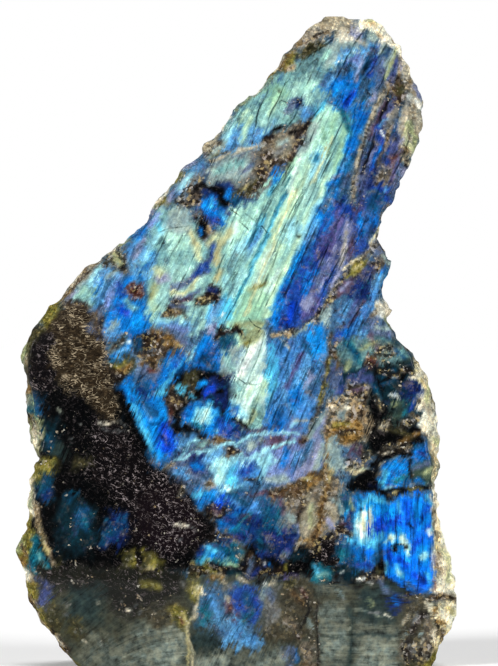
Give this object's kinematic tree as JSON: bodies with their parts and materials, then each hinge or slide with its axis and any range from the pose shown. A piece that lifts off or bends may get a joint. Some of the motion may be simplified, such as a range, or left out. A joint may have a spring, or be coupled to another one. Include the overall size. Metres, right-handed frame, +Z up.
{
  "type": "labradorite freeform",
  "caption": "Free-standing labradorite freeform: a tall leaning stone with a polished blue and green front face, a rough natural rim and back, and a flat cut base.",
  "frame": {"origin": "middle of the stone's box, on the flat cut base", "axes": "+Z up along the stone's height, -Y towards the viewer of the polished face, +X to that viewer's right"},
  "size_m": [0.1342, 0.0547, 0.2],
  "materials": {
    "labradorite": "polished front with blue, teal, mint and violet flash over dark grey feldspar; rough olive and tan weathered rim and dark broken back"
  },
  "bodies": {
    "root": {"stone": "labradorite"}
  },
  "joints": []
}
